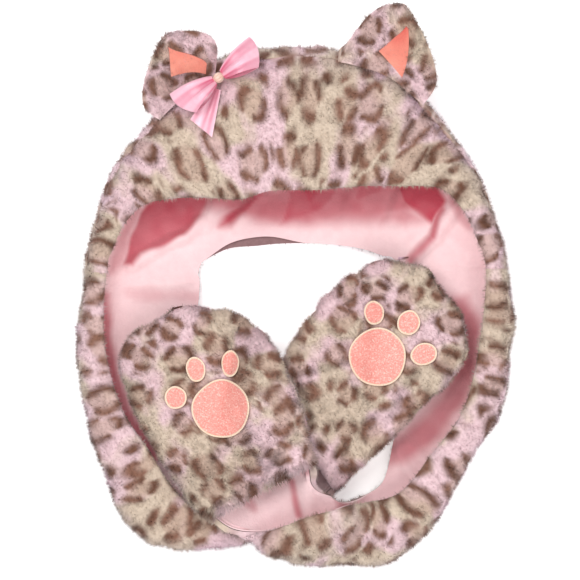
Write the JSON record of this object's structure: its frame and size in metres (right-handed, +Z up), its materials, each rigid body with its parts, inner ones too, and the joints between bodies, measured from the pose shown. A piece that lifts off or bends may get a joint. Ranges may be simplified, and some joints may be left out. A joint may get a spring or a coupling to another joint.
{
  "type": "animal hood scarf",
  "caption": "Plush leopard-print hood with cat ears, a satin bow and long scarf ends that cross and finish in paw mittens, lying open on its back",
  "frame": {"origin": "under the middle of the whole object, on the surface that it lies on", "axes": "+X across the hood towards the pointed ear, +Y from the scarf ends to the crown, +Z up out of the face opening"},
  "size_m": [0.3776, 0.4768, 0.0975],
  "materials": {
    "plush": "short leopard-print faux-fur pile in cream, brown and pale pink",
    "fleece": "soft matte pink fleece",
    "ear_satin": "coral satin",
    "ribbon": "shiny pink satin ribbon",
    "pad": "coral embroidery with a cream stitched border"
  },
  "bodies": {
    "root": {"hood_front": "plush", "hood_back": "plush", "hood_lining": "fleece", "scarf_left": "plush", "scarf_right": "plush", "scarf_lining_left": "fleece", "scarf_lining_right": "fleece", "mitten_back_left": "plush", "mitten_back_right": "plush", "ear_left": "plush", "ear_right": "plush", "ear_inner_left": "ear_satin", "ear_inner_right": "ear_satin", "bow_loop_left": "ribbon", "bow_loop_right": "ribbon", "bow_knot": "ribbon", "bow_tail": "ribbon", "palm_pad_left": "pad", "palm_pad_right": "pad", "toe_pad_left_1": "pad", "toe_pad_left_2": "pad", "toe_pad_left_3": "pad", "toe_pad_right_1": "pad", "toe_pad_right_2": "pad", "toe_pad_right_3": "pad"}
  },
  "joints": []
}
